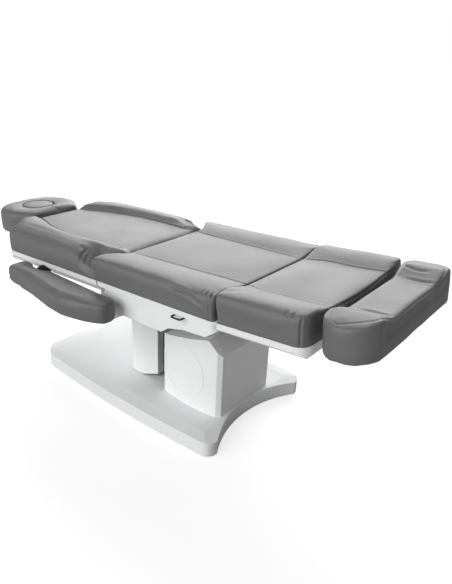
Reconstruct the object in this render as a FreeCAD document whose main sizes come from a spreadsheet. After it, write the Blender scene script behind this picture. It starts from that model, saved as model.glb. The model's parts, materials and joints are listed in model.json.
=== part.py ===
import FreeCAD, Part
import math
import os
from types import SimpleNamespace

import Sketcher
from FreeCAD import Placement, Rotation, Vector

# Powered treatment bed. Origin: on the floor under the middle of the bed. +X points to the
# foot end, +Y to the bed's left side, +Z up. The bed is lowered, the seat and back lie in one
# line that is tilted a little, and the leg section is raised to its stop.

doc = FreeCAD.newDocument("TreatmentBed")
sheet = doc.addObject("Spreadsheet::Sheet", "Dims")

DRIVING = [
    # base
    ("base_long", 951, "base cover, end to end"),
    ("base_wide", 604, "base cover at its widest"),
    ("base_bow", 20, "how far each long side bows out"),
    ("base_scoop", 70, "depth of the concave front end"),
    ("base_round", 100, "rear corner radius in plan"),
    ("base_nose", 38, "front corner radius in plan"),
    ("base_lift", 3, "gap between cover and floor"),
    ("base_top", 64, "height of the raised middle of the cover"),
    ("base_slope", 55, "width of the slope around the raised middle"),
    ("base_fall", 7, "fall of that slope"),
    ("shell_wall", 3, "wall of the plastic covers"),
    ("foot_radius", 24, "levelling foot"),
    ("foot_tall", 14, "levelling foot"),
    ("frame_long", 860, "base frame rail"),
    ("frame_track", 190, "base frame rail to middle"),
    ("frame_wide", 40, "base frame tube"),
    ("frame_tall", 36, "base frame tube"),
    ("tube_wall", 3, "wall of the steel tubes"),
    # pedestal and lift
    ("box_rear", 137, "pedestal housing, rear edge"),
    ("box_front", 404, "pedestal housing, front face"),
    ("box_half", 154, "half width at the corners"),
    ("box_bulge", 14, "how far each side bulges"),
    ("box_low", 310, "height of the top at the rear"),
    ("box_high", 366, "height of the top at the crest"),
    ("box_crest", 355, "where the top is highest"),
    ("box_nose", 312, "height where the bevel meets the front"),
    ("ring_radius", 108, "relief ring on the side"),
    ("ring_wide", 18, "relief ring on the side"),
    ("pivot_x", 232, "fixed lift pivots"),
    ("pivot_z", 200, "lower fixed lift pivot"),
    ("pivot_rise", 58, "upper lift pivot over the lower one"),
    ("arm_long", 250, "lift arm, pivot to pivot"),
    ("arm_droop", 20, "arm angle below level when lowered"),
    ("pin_radius", 10, "lift pins"),
    ("pin_gap", 0.1, "running clearance"),
    ("plate_thick", 8, "pedestal side plates"),
    ("column_front", 68, "column cover, front face"),
    ("column_rear", -96, "column cover, rear"),
    ("column_half", 122, "column cover, half width at the front"),
    ("column_bulge", 18, "how far each side bulges"),
    ("column_low", 67, "column cover, lowest edge"),
    ("column_rise", 22, "rise of that edge at the front and rear"),
    ("column_high", 398, "column cover, upper edge"),
    ("tilt_x", -40, "tilt pivot"),
    ("tilt_z", 425, "tilt pivot"),
    ("lift_eye_x", 280, "rear eye of the lift drive"),
    ("lift_eye_z", 100, "rear eye of the lift drive"),
    ("lift_eye_angle", 16.8, "lift drive above level when lowered"),
    ("tilt_drive_x", 40, "tilt drive"),
    ("tilt_drive_z", 124, "rear eye of the tilt drive"),
    ("tilt_bar_z", 440, "bar that the tilt drive lifts"),
    # bed sections, measured along and across the bed surface
    ("hinge_x", -39, "back hinge line"),
    ("panel_z", 587.4, "height of the surface at the back hinge"),
    ("seat_tilt", 3.2, "slope of the seat and back"),
    ("leg_tilt", 5.6, "slope of the leg section"),
    ("seat_long", 533.8, "seat, hinge line to leg section"),
    ("half_wide", 313, "half width of the trays"),
    ("pad_half", 315, "half width of the pads"),
    ("pad_base", 74, "depth of a tray's rim below the surface"),
    ("leg_base", 72, "the same on the leg section"),
    ("foot_base", 79, "depth of the foot pad"),
    ("board_thick", 12, "plywood boards"),
    ("rim_tall", 18, "rim band of the trays"),
    ("rail_tall", 40, "seat and back rails"),
    ("back_axis", 25, "back hinge below the surface"),
    ("back_travel", 75, "how far the back rises"),
    ("leg_axis", 86, "leg hinge below the surface"),
    ("leg_axis_x", 27, "leg hinge beyond the joint line"),
    ("leg_long", 307, "leg pad, end"),
    ("foot_start", 328, "foot pad, start"),
    ("foot_end", 482.966, "foot pad, end"),
    ("back_end", 646, "back panel, end"),
    ("wing_end", 624, "tips of the back's side bolsters"),
    ("head_start", 660, "head pad, start"),
    ("head_end", 945, "head pad, end"),
    ("head_half", 172, "half width of the head pad"),
    ("plug_radius", 68, "face plug"),
    ("plug_x", 808, "face plug, along the bed"),
    # armrests
    ("arm_pad_rear", -444, "armrest pad, rear end"),
    ("arm_pad_front", 92, "armrest pad, front end"),
    ("arm_inner", 326, "armrest pad, inner edge"),
    ("arm_outer", 451, "armrest pad, outer edge"),
    ("arm_top", 488, "armrest pad, top"),
    ("arm_thick", 61, "armrest pad, thickness"),
    ("arm_pivot_x", -345, "armrest pivot"),
    ("arm_pivot_z", 462, "armrest pivot"),
]


class Size:
    """A length that carries its value and the spreadsheet expression behind it."""

    def __init__(self, value, text=None):
        self.value = float(value)
        self.text = text if text is not None else repr(float(value))

    def __float__(self):
        return self.value

    def __add__(self, other):
        other = size(other)
        return Size(self.value + other.value, f"({self.text} + {other.text})")

    def __sub__(self, other):
        other = size(other)
        return Size(self.value - other.value, f"({self.text} - {other.text})")

    def __mul__(self, other):
        other = size(other)
        return Size(self.value * other.value, f"({self.text} * {other.text})")

    def __truediv__(self, other):
        other = size(other)
        return Size(self.value / other.value, f"({self.text} / {other.text})")

    def __neg__(self):
        return Size(-self.value, f"(0 - {self.text})")

    def __radd__(self, other):
        return size(other) + self

    def __rsub__(self, other):
        return size(other) - self

    def __rmul__(self, other):
        return size(other) * self


def size(amount):
    return amount if isinstance(amount, Size) else Size(amount)


def fill_sheet():
    """Write the driving dimensions and return them as named sizes."""
    for row, (alias, value, note) in enumerate(DRIVING, start=1):
        sheet.set(f"A{row}", alias)
        sheet.set(f"B{row}", str(value))
        sheet.set(f"C{row}", note)
        sheet.setAlias(f"B{row}", alias)
    doc.recompute()
    return SimpleNamespace(**{alias: Size(sheet.get(alias), f"Dims.{alias}") for alias, _, _ in DRIVING})


d = fill_sheet()


# ---------------------------------------------------------------- building blocks

TURN = {
    "x": Rotation(Vector(0, 1, 0), 90),
    "y": Rotation(Vector(1, 0, 0), -90),
    "z": Rotation(),
}
SIDES = {"near": -1, "far": 1}
nodes = []


def bind(thing, prop, amount):
    thing.setExpression(prop, size(amount).text)


def box(name, x, y, z):
    """A box between two corners, each given as (low, high) along X, Y and Z."""
    solid = doc.addObject("Part::Box", name)
    for side, axis, (low, high) in zip(("Length", "Width", "Height"), "xyz", (x, y, z)):
        bind(solid, side, size(high) - low)
        bind(solid, f"Placement.Base.{axis}", low)
    return solid


def rod(name, radius, axis, span, **at):
    """A cylinder along one axis from span[0] to span[1], at the two other coordinates."""
    solid = doc.addObject("Part::Cylinder", name)
    solid.Placement = Placement(Vector(), TURN[axis])
    bind(solid, "Radius", radius)
    bind(solid, "Height", size(span[1]) - span[0])
    at[axis] = span[0]
    for letter in "xyz":
        bind(solid, f"Placement.Base.{letter}", at.get(letter, 0))
    return solid


def fuse(name, parts):
    result = doc.addObject("Part::MultiFuse", name)
    result.Shapes = list(parts)
    return result


def cut(name, base, tools):
    tools = list(tools)
    result = doc.addObject("Part::Cut", name)
    result.Base = base
    result.Tool = tools[0] if len(tools) == 1 else fuse(name + "_tools", tools)
    return result


def common(name, parts):
    result = doc.addObject("Part::MultiCommon", name)
    result.Shapes = list(parts)
    return result


def group(name, parts):
    """Separate solids kept in one sub-part."""
    result = doc.addObject("Part::Compound", name)
    result.Links = list(parts)
    return result


def tube(name, x, y, z, along):
    """A hollow rectangular steel tube, open at both ends."""
    spans = {"x": x, "y": y, "z": z}
    inner = {}
    for axis, (low, high) in spans.items():
        step = -1.0 if axis == along else d.tube_wall
        inner[axis] = (size(low) + step, size(high) - step)
    outer = box(name + "_outer", x, y, z)
    return cut(name, outer, [box(name + "_inner", inner["x"], inner["y"], inner["z"])])


def feature(name, shape):
    """A sub-part whose shape is worked out here from the sheet's values."""
    solid = doc.addObject("Part::Feature", name)
    solid.Shape = shape
    return solid


def round_edges(name, base, radius, picks):
    """Round the edges of base whose middle point passes the test."""
    doc.recompute()
    result = doc.addObject("Part::Fillet", name)
    result.Base = base
    chosen = [i for i, edge in enumerate(base.Shape.Edges, start=1) if picks(edge)]
    result.Edges = [(i, float(radius), float(radius)) for i in chosen]
    return result


def upright(edge):
    """True for a straight edge along Z."""
    ends = [vertex.Point for vertex in edge.Vertexes]
    if len(ends) != 2:
        return False
    step = ends[1] - ends[0]
    return abs(step.x) < 0.01 and abs(step.y) < 0.01


def node(thing, label, frame=None):
    """Name a finished sub-part and put it in its place."""
    thing.Label = label
    if frame is not None:
        thing.Placement = frame
    nodes.append(thing)
    return thing


def tilted(origin_x, origin_z, slope):
    """A frame on the bed surface whose X runs up the slope towards the foot end."""
    return Placement(Vector(float(origin_x), 0, float(origin_z)), Rotation(Vector(0, 1, 0), -float(slope)))


def rounded(points):
    """A closed wire in the XY plane through (x, y, corner radius) points."""
    corners = []
    count = len(points)
    for i, (x, y, radius) in enumerate(points):
        here = Vector(float(x), float(y), 0)
        before = Vector(float(points[i - 1][0]), float(points[i - 1][1]), 0)
        after = Vector(float(points[(i + 1) % count][0]), float(points[(i + 1) % count][1]), 0)
        if float(radius) <= 0:
            corners.append((here, None, here))
            continue
        back = (before - here).normalize()
        on = (after - here).normalize()
        half = back.getAngle(on) / 2
        reach = float(radius) / math.tan(half)
        towards = (back + on).normalize()
        middle = here + towards * (float(radius) / math.sin(half) - float(radius))
        corners.append((here + back * reach, middle, here + on * reach))
    edges = []
    for i, (start, middle, end) in enumerate(corners):
        if middle is not None:
            edges.append(Part.Arc(start, middle, end).toShape())
        following = corners[(i + 1) % count][0]
        if (following - end).Length > 1e-6:
            edges.append(Part.LineSegment(end, following).toShape())
    return Part.Wire(edges)


def slab(points, low, high):
    """A flat piece with a rounded outline, between two heights."""
    face = Part.Face(rounded(points))
    face.translate(Vector(0, 0, float(low)))
    return face.extrude(Vector(0, 0, float(high) - float(low)))


def side_slab(points, half):
    """A piece with a rounded outline in the XZ plane, reaching from -half to half in Y."""
    face = Part.Face(rounded(points))
    face.rotate(Vector(), Vector(1, 0, 0), 90)
    face.translate(Vector(0, float(half), 0))
    return face.extrude(Vector(0, -2 * float(half), 0))


def mirror_outline(points):
    """Complete a half outline, given for +Y from the rear end to the front end."""
    return list(points) + [(x, -y, radius) for x, y, radius in reversed(points)]


def plate_body(name, outline, low, high, round_by=0, holes=()):
    """A flat board as a sketched pad; every corner and hole is tied to the sheet."""
    body = doc.addObject("PartDesign::Body", name)
    sketch = body.newObject("Sketcher::SketchObject", name + "_outline")
    plane = next(f for f in body.Origin.OriginFeatures if f.Role == "XY_Plane")
    sketch.AttachmentSupport = [(plane, "")]
    sketch.MapMode = "FlatFace"
    sketch.AttachmentOffset = Placement(Vector(0, 0, float(low)), Rotation())
    bind(sketch, "AttachmentOffset.Base.z", low)
    count = len(outline)
    for i in range(count):
        start = Vector(float(outline[i][0]), float(outline[i][1]), 0)
        end = Vector(float(outline[(i + 1) % count][0]), float(outline[(i + 1) % count][1]), 0)
        sketch.addGeometry(Part.LineSegment(start, end), False)
    for i in range(count):
        sketch.addConstraint(Sketcher.Constraint("Coincident", i, 2, (i + 1) % count, 1))
    for i, (x, y) in enumerate(outline):
        tie_point(sketch, i, 1, x, y)
    for x, y, radius in holes:
        circle = Part.Circle(Vector(float(x), float(y), 0), Vector(0, 0, 1), float(radius))
        index = sketch.addGeometry(circle, False)
        tie_point(sketch, index, 3, x, y)
        tie = sketch.addConstraint(Sketcher.Constraint("Radius", index, float(radius)))
        sketch.setExpression(f"Constraints[{tie}]", size(radius).text)
    doc.recompute()
    pad = body.newObject("PartDesign::Pad", name + "_pad")
    pad.Profile = sketch
    bind(pad, "Length", size(high) - low)
    doc.recompute()
    if round_by:
        corners = [f"Edge{i}" for i, edge in enumerate(pad.Shape.Edges, start=1) if upright(edge)]
        rounding = body.newObject("PartDesign::Fillet", name + "_corners")
        rounding.Base = (pad, corners)
        bind(rounding, "Radius", round_by)
    return body


def tie_point(sketch, index, end, x, y):
    """Tie one sketch point to its two sheet sizes."""
    for kind, amount in (("DistanceX", x), ("DistanceY", y)):
        if abs(float(amount)) < 1e-9:
            axis = -2 if kind == "DistanceX" else -1
            sketch.addConstraint(Sketcher.Constraint("PointOnObject", index, end, axis))
            continue
        tie = sketch.addConstraint(Sketcher.Constraint(kind, -1, 1, index, end, float(amount)))
        sketch.setExpression(f"Constraints[{tie}]", size(amount).text)


bed = tilted(d.hinge_x, d.panel_z, d.seat_tilt)
leg_rise = float(d.seat_long) * math.sin(math.radians(float(d.seat_tilt)))
leg_run = float(d.seat_long) * math.cos(math.radians(float(d.seat_tilt)))
leg = tilted(float(d.hinge_x) + leg_run, float(d.panel_z) + leg_rise, d.leg_tilt)


# ---------------------------------------------------------------- base

def at_corner(edge, end):
    """True for an upright edge at the base's rear (-1) or front (+1) outer corners."""
    middle = edge.CenterOfMass
    return upright(edge) and middle.x * end > 300 and abs(middle.y) > 255


def base_block(name, inset, low, fall_from):
    """The base's outline: bowed sides, a scooped front end, rounded corners, a sloped top."""
    half_long = d.base_long / 2 - inset
    half_wide = d.base_wide / 2 - inset
    bow_radius = (d.base_long * d.base_long / 4 + d.base_bow * d.base_bow) / (d.base_bow * 2)
    scoop_radius = (Size(240) * 240 + d.base_scoop * d.base_scoop) / (d.base_scoop * 2)
    stock = box(name + "_stock", (-half_long, half_long), (-half_wide, half_wide), (low, fall_from))
    bows = [
        rod(f"{name}_bow_{side}", bow_radius, "z", (-1, 100), y=(half_wide - bow_radius) * sign)
        for side, sign in SIDES.items()
    ]
    outline = common(name + "_outline", [stock] + bows)
    scoop_x = d.base_long / 2 - d.base_scoop + scoop_radius
    scoop = rod(name + "_scoop", scoop_radius + inset, "z", (-1, 100), x=scoop_x)
    scooped = cut(name + "_scooped", outline, [scoop])
    rear = round_edges(name + "_rear", scooped, d.base_round - inset, lambda e: at_corner(e, -1))
    corners = round_edges(name + "_corners", rear, d.base_nose - inset, lambda e: at_corner(e, 1))
    rim_height = fall_from - d.base_fall
    hipped = doc.addObject("Part::Wedge", name + "_hips")
    hipped.Placement = Placement(Vector(), Rotation(Vector(1, 0, 0), 90))
    slope = d.base_slope
    for prop, amount in (
        ("Ymin", rim_height), ("Ymax", fall_from),
        ("Xmin", -half_long), ("Xmax", half_long), ("Zmin", -half_wide), ("Zmax", half_wide),
        ("X2min", slope - half_long), ("X2max", half_long - slope),
        ("Z2min", slope - half_wide), ("Z2max", half_wide - slope),
    ):
        bind(hipped, prop, amount)
    lower = box(name + "_lower", (-half_long, half_long), (-half_wide, half_wide), (low, rim_height))
    return common(name, [corners, fuse(name + "_form", [lower, hipped])])


def build_base():
    outer = base_block("cover_outer", Size(0), d.base_lift, d.base_top)
    inner = base_block("cover_inner", d.shell_wall, Size(-1), d.base_top - d.shell_wall)
    window = box("cover_window", (152, 392), (-116, 116), (40, 80))
    inlet_hole = box("cover_inlet_hole", (-490, -460), (67, 107), (19, 45))
    doc.recompute()
    node(cut("base_cover", outer, [inner, window, inlet_hole]), "base_cover")

    z = (d.foot_tall, d.foot_tall + d.frame_tall)
    half = d.frame_long / 2
    near_edge = d.frame_track - d.frame_wide / 2
    parts = []
    for side, sign in SIDES.items():
        low = d.frame_track * sign - d.frame_wide / 2
        parts.append(tube(f"rail_{side}", (-half, half), (low, low + d.frame_wide), z, "x"))
    for i, x in enumerate((-400, 150, 350)):
        parts.append(tube(f"cross_{i}", (x, x + d.frame_wide), (-near_edge, near_edge), z, "y"))
    node(fuse("base_frame", parts), "base_frame")

    feet = []
    for i, (x, y) in enumerate(((-400, -190), (-400, 190), (400, -190), (400, 190))):
        pad = rod(f"foot_pad_{i}", d.foot_radius, "z", (0, d.foot_tall - 4), x=x, y=y)
        neck = rod(f"foot_neck_{i}", d.foot_radius / 2, "z", (d.foot_tall - 4, d.foot_tall), x=x, y=y)
        feet.append(fuse(f"foot_{i}", [pad, neck]))
    node(group("levelling_feet", feet), "levelling_feet")

    case = box("case", (-330, -150), (-110, 80), (16, 50))
    lid = box("case_lid", (-334, -146), (-114, 84), (50, 54))
    node(fuse("control_box", [case, lid]), "control_box")

    rear = -d.base_long / 2
    flange = box("inlet_flange", (rear - 3, rear), (62, 112), (16, 48))
    socket = box("inlet_body", (rear, rear + 24), (68, 106), (20, 44))
    mouth = box("inlet_mouth", (rear - 4, rear + 14), (74, 100), (24, 40))
    node(cut("mains_inlet", fuse("inlet_solid", [flange, socket]), [mouth]), "mains_inlet")
    pins = [
        box(f"inlet_pin_{i}", (rear + 5, rear + 14), (y, y + 2), (z0, z0 + 4))
        for i, (y, z0) in enumerate(((79, 29), (86, 33), (93, 29)))
    ]
    node(group("inlet_pins", pins), "inlet_pins")


# ---------------------------------------------------------------- pedestal and lift

def build_pedestal():
    plates = [
        box("foot_plate", (165, 385), (-210, 210), (50, 56)),
        box("front_web", (377, 385), (-100, 100), (56, 250)),
    ]
    for side, sign in SIDES.items():
        low = Size(104 * sign) - d.plate_thick / 2
        plates.append(box(f"side_plate_{side}", (165, 385), (low, low + d.plate_thick), (56, 292)))
    for y in (-16, 10):
        x, z = d.lift_eye_x, d.lift_eye_z
        plates.append(box(f"drive_ear_{y}", (x - 9, x + 9), (y, y + 6), (56, z)))
        plates.append(rod(f"drive_ear_eye_{y}", 11, "y", (y, y + 6), x=x, z=z))
    solid = fuse("pedestal_solid", plates)
    upper = d.pivot_z + d.pivot_rise
    bores = [
        rod(f"pivot_bore_{i}", d.pin_radius, "y", (-130, 130), x=d.pivot_x, z=z)
        for i, z in enumerate((d.pivot_z, upper))
    ]
    bores.append(rod("lift_drive_bore", 6, "y", (-30, 30), x=d.lift_eye_x, z=d.lift_eye_z))
    node(cut("pedestal_frame", solid, bores), "pedestal_frame")
    pins = [
        rod(f"lift_pin_{i}", d.pin_radius, "y", (-114, 114), x=d.pivot_x, z=z)
        for i, z in enumerate((d.pivot_z, upper))
    ]
    pins.append(rod("lift_drive_pin", 6, "y", (-18, 18), x=d.lift_eye_x, z=d.lift_eye_z))
    node(group("lift_pins", pins), "lift_pins")
    bolts = []
    for x in (185, 365):
        for y in (-190, -140, 140, 190):
            bolts.append(bolt(f"pedestal_bolt_{len(bolts)}", x, y, 56))
    node(group("pedestal_bolts", bolts), "pedestal_bolts")


def bolt(name, x, y, z, radius=8, tall=5):
    """A hexagon head standing on a surface."""
    head = doc.addObject("Part::Prism", name)
    head.Polygon = 6
    head.Circumradius = radius
    head.Height = tall
    head.Placement = Placement(Vector(x, y, z), Rotation())
    return head


def housing_plan(grow, low, high):
    """A block with the housing's outline in plan: a straight rear, bowed sides, a flat front."""
    rear = float(d.box_rear)
    front = float(d.box_front) + grow
    half = float(d.box_half) + grow
    bulge = half + float(d.box_bulge)
    middle = (rear + front) / 2
    corner = 14
    side = front - corner
    edges = [
        Part.Arc(Vector(rear, half, low), Vector(middle, bulge, low), Vector(side, half, low)).toShape(),
        Part.LineSegment(Vector(side, half, low), Vector(front, half - corner, low)).toShape(),
        Part.LineSegment(Vector(front, half - corner, low), Vector(front, corner - half, low)).toShape(),
        Part.LineSegment(Vector(front, corner - half, low), Vector(side, -half, low)).toShape(),
        Part.Arc(Vector(side, -half, low), Vector(middle, -bulge, low), Vector(rear, -half, low)).toShape(),
        Part.LineSegment(Vector(rear, -half, low), Vector(rear, half, low)).toShape(),
    ]
    return Part.Face(Part.Wire(edges)).extrude(Vector(0, 0, high - low))


def housing_solid():
    """The pedestal housing's outer form, with its sloping roof and front bevel."""
    rear, front = float(d.box_rear), float(d.box_front)
    base = float(d.base_top)
    profile = side_slab([
        (rear, base, 0), (front, base, 0), (front, d.box_nose, 0),
        (float(d.box_crest), d.box_high, 12), (rear, d.box_low, 0),
    ], 250)
    return housing_plan(0.0, base, 464).common(profile)


def housing_hollow(wall):
    """What the housing's walls enclose, open to the rear and below."""
    rear, front = float(d.box_rear) - 40, float(d.box_front) - wall
    low = float(d.base_top) - 20
    roof = float(d.box_low) - wall - 8
    profile = side_slab([
        (rear, low, 0), (front, low, 0), (front, float(d.box_nose) - 0.4 * wall, 0),
        (float(d.box_crest) - 0.6 * wall, float(d.box_high) - wall, 12), (rear, roof, 0),
    ], 250)
    half = float(d.box_half) - wall
    mouth = Part.makeBox(41, 2 * half, 400, Vector(rear, -half, low))
    return housing_plan(-wall, low, 464).fuse(mouth).common(profile)


def build_housing():
    skin = housing_solid().cut(housing_hollow(float(d.shell_wall)))
    slot = Part.makeBox(75, 196, 400, Vector(float(d.box_rear) - 1, -98, 240))
    window = Part.makeBox(80, 252, 400, Vector(float(d.box_front) - 56, -126, 70))
    panel_zone = Part.makeBox(80, 250, 398, Vector(float(d.box_front) - 55, -125, 71))
    panel = skin.common(panel_zone)
    ring = ring_relief()
    node(feature("pedestal_housing", skin.cut(slot).cut(window).fuse(ring)), "pedestal_housing")
    node(feature("pedestal_panel", panel), "pedestal_panel")


def ring_relief():
    """A raised ring on each bulged side, clipped by the housing's rear edge."""
    centre = Vector(float(d.pivot_x), 0, float(d.pivot_z))
    outer = float(d.ring_radius)
    inner = outer - float(d.ring_wide)
    rings = []
    for sign in (1, -1):
        start = centre + Vector(0, sign * 140, 0)
        direction = Vector(0, sign, 0)
        disc = Part.makeCylinder(outer, 60, start, direction)
        hole = Part.makeCylinder(inner, 60, start, direction)
        rings.append(disc.cut(hole))
    low, high = float(d.base_top) + 6, float(d.box_low)
    grown = housing_plan(1.2, low, high).cut(housing_plan(-0.8, low - 1, high + 1))
    return grown.common(rings[0].fuse(rings[1]))


def lift_arm(label, pivot_z, inner_y, depth):
    """Two flat bars with eyes at both ends, joined by a cross tube; modelled level."""
    bars = []
    length = d.arm_long
    for side, sign in SIDES.items():
        low = Size(inner_y) if sign > 0 else Size(-inner_y - 10)
        span = (low, low + 10)
        parts = [
            box(f"{label}_bar_{side}", (-length, 0), span, (-depth, depth)),
            rod(f"{label}_eye_a_{side}", depth, "y", span),
            rod(f"{label}_eye_b_{side}", depth, "y", span, x=-length),
        ]
        bars.append(fuse(f"{label}_side_{side}", parts))
    spacer = rod(f"{label}_spacer", 9, "y", (-inner_y, inner_y), x=-110, z=-20 if "lower" in label else 0)
    solid = fuse(label + "_solid", bars + [spacer])
    bore = d.pin_radius + d.pin_gap
    bores = [
        rod(f"{label}_bore_{i}", bore, "y", (-130, 130), x=x) for i, x in enumerate((Size(0), -length))
    ]
    frame = Placement(
        Vector(float(d.pivot_x), 0, float(pivot_z)), Rotation(Vector(0, 1, 0), -float(d.arm_droop))
    )
    node(cut(label, solid, bores), label, frame)


def build_lift():
    lift_arm("lift_arm_lower", d.pivot_z, 78, 26)
    lift_arm("lift_arm_upper", d.pivot_z + d.pivot_rise, 62, 19)


def pivot_rear():
    """The lower rear lift pivot when the bed is lowered."""
    droop = math.radians(float(d.arm_droop))
    x = float(d.pivot_x) - float(d.arm_long) * math.cos(droop)
    z = float(d.pivot_z) - float(d.arm_long) * math.sin(droop)
    return x, z


def build_carriage():
    x, z = pivot_rear()
    rise = float(d.pivot_rise)
    parts = []
    for side, sign in SIDES.items():
        low = 92 if sign > 0 else -100
        parts.append(box(f"carriage_plate_{side}", (-60, 58), (low, low + 8), (96, 442)))
    parts += [
        box("carriage_back", (-66, -58), (-100, 100), (90, 368)),
        box("carriage_shelf", (-60, 56), (-40, 40), (90, 98)),
    ]
    drive_x, drive_z = d.tilt_drive_x, d.tilt_drive_z
    for y in (-16, 10):
        parts.append(box(f"tilt_ear_{y}", (drive_x - 11, drive_x + 11), (y, y + 6), (96, drive_z + 8)))
    solid = fuse("carriage_solid", parts)
    bores = [
        rod("carriage_bore_0", d.pin_radius, "y", (-130, 130), x=x, z=z),
        rod("carriage_bore_1", d.pin_radius, "y", (-130, 130), x=x, z=z + rise),
        rod("carriage_bore_2", d.pin_radius, "y", (-130, 130), x=d.tilt_x, z=d.tilt_z),
        rod("tilt_drive_bore", 6, "y", (-30, 30), x=drive_x, z=drive_z),
    ]
    node(cut("carriage_frame", solid, bores), "carriage_frame")
    pins = [
        rod(f"carriage_pin_{i}", d.pin_radius, "y", (-104, 104), x=x, z=z + i * rise) for i in range(2)
    ]
    for side, sign in SIDES.items():
        span = (90, 120) if sign > 0 else (-120, -90)
        pins.append(rod(f"tilt_pin_{side}", d.pin_radius, "y", span, x=d.tilt_x, z=d.tilt_z))
    pins.append(rod("tilt_drive_pin", 6, "y", (-18, 18), x=drive_x, z=drive_z))
    node(group("carriage_pins", pins), "carriage_pins")


def column_plan(inset):
    """The column's outline: a flat front face, bowed sides and a rounded rear."""
    front = float(d.column_front) - inset
    rear = float(d.column_rear) + inset
    half = float(d.column_half) - inset
    bulge = half + float(d.column_bulge)
    return mirror_outline([
        (rear, half - 34, 50 - inset), (rear + 26, bulge - 4, 44 - inset), (-4, bulge, 150), (front, half, 4),
    ])


def build_column():
    low, high = float(d.column_low), float(d.column_high)
    rise = float(d.column_rise)
    wall = float(d.shell_wall)
    front, rear = float(d.column_front), float(d.column_rear)
    profile = [
        (front + 1, low + rise, 0), (front + 1, high, 0), (rear - 1, high, 0), (rear - 1, low + rise, 0),
        (rear + 26, low, 24), (-6, low, 60),
    ]
    outer = slab(column_plan(0), low, high).common(side_slab(profile, 200))
    shell = outer.cut(slab(column_plan(wall), low - 1, high + 1))
    arm_slot = Part.makeBox(20, 182, 190, Vector(front - 10, -91, low - 1))
    drive_gap = Part.makeBox(60, 60, 100, Vector(-120, -90, high - 30))
    node(feature("column_cover", shell.cut(arm_slot).cut(drive_gap)), "column_cover")


# ---------------------------------------------------------------- actuators

def actuator_body(name, length, frame, tube_radius=18):
    """Gearbox, motor tube and rear eye of a linear actuator that points along +X."""
    parts = [
        rod(name + "_tube", tube_radius, "x", (26, length)),
        box(name + "_gearbox", (14, 50), (-20, 20), (-20, 20)),
        rod(name + "_eye", 12, "y", (-9, 9)),
        box(name + "_tang", (0, 16), (-9, 9), (-10, 10)),
    ]
    solid = fuse(name + "_solid", parts)
    bores = [
        rod(name + "_bore", 9 + d.pin_gap, "x", (30, length + 1)),
        rod(name + "_pin_bore", 6, "y", (-12, 12)),
    ]
    node(cut(name, solid, bores), name, frame)


def actuator_rod(name, inside, reach, pin, sway, play, frame):
    """Push rod and fork. A pin of the given radius sits at reach in a slot, open along +Z,
    that lets it sway fore and aft and drop by the play as its lever swings."""
    slot = 2 * (pin + sway) + 1
    end = reach - slot / 2 - 14
    tip = reach + slot / 2 + 8
    top = -pin - 4
    low = play + pin + 4
    parts = [
        rod(name + "_bar", 9, "x", (inside, end + 2)),
        box(name + "_fork", (end, tip), (-17, 17), (top, low)),
    ]
    solid = fuse(name + "_solid", parts)
    gaps = [
        box(name + "_slot", (reach - slot / 2, reach + slot / 2), (-20, 20), (-pin - 1, low + 1)),
        box(name + "_web", (end + 8, tip + 1), (-9, 9), (top - 1, low + 1)),
    ]
    node(cut(name, solid, gaps), name, frame)


def pointing(x, y, z, angle, base=None):
    """A frame whose X axis points to the head end, raised by an angle above level."""
    aim = Rotation(Vector(0, 1, 0), 180 + float(angle))
    here = Placement(Vector(float(x), float(y), float(z)), aim)
    return base.multiply(here) if base else here


def build_actuators():
    """Lift and tilt drives in the pedestal and column, back and leg drives under the seat."""
    lift = pointing(d.lift_eye_x, 0, d.lift_eye_z, d.lift_eye_angle)
    lift.Rotation = lift.Rotation.multiply(Rotation(Vector(1, 0, 0), 180))
    actuator_body("lift_drive", 118, lift)
    actuator_rod("lift_drive_rod", 33, 150.95, 9, 8, 10, lift)
    upward = Placement(
        Vector(float(d.tilt_drive_x), 0, float(d.tilt_drive_z)), Rotation(Vector(0, 1, 0), -90)
    )
    actuator_body("tilt_drive", 220, upward)
    actuator_rod("tilt_drive_rod", 60, float(d.tilt_bar_z - d.tilt_drive_z), 6, 3, 12, upward)
    back_line = bed.multiply(
        Placement(Vector(395, -60, -140), Rotation(Vector(0, 1, 0), 180))
    )
    actuator_body("back_drive", 255, back_line)
    actuator_rod("back_drive_rod", 60, 395 - 88, 8, 6, 31, back_line)
    leg_line = bed.multiply(
        Placement(Vector(250, 60, -140), Rotation(Vector(1, 0, 0), 180))
    )
    actuator_body("leg_drive", 225, leg_line)
    actuator_rod("leg_drive_rod", 128, 360.7, 7, 4.5, 18, leg_line)


# ---------------------------------------------------------------- soft pads and boards

def pad_section(bottom, foot_y, edge, edge_y, crest, crest_y, seam_y, grow=0.0):
    """A pad's cross-section: a flat middle between two raised bolsters."""
    right = [
        (foot_y + grow, bottom, 4),
        (edge_y + grow, edge + grow, 20),
        (crest_y, crest + grow, 60),
        (seam_y, grow, 24),
    ]
    return right + [(-y, z, radius) for y, z, radius in reversed(right)]


def yz_prism(points, start, end):
    """Extrude a cross-section given as (y, z, radius) points along X."""
    wire = rounded([(y, z, radius) for y, z, radius in points])
    face = Part.Face(wire)
    # the drawing plane's X and Y become the bed's Y and Z
    face.Placement = Placement(Vector(float(start), 0, 0), Rotation(Vector(1, 1, 1), 120))
    return face.extrude(Vector(float(end) - float(start), 0, 0))


HALF = float(d.pad_half)
# depth, half width there, edge height, half width there, crest height, its place, seam's place
SEAT_PAD = (-float(d.pad_base), HALF - 2, 6, HALF, 16, 250, 166)
BACK_PAD = (-float(d.pad_base), HALF - 3, -4, HALF - 8, 20, 232, 170)
LEG_PAD = (-float(d.leg_base), HALF - 2, 16, HALF, 24, 255, 166)
FOOT_PAD = (-float(d.foot_base), HALF - 7, 18, HALF - 5, 30, 235, 150)


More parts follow.
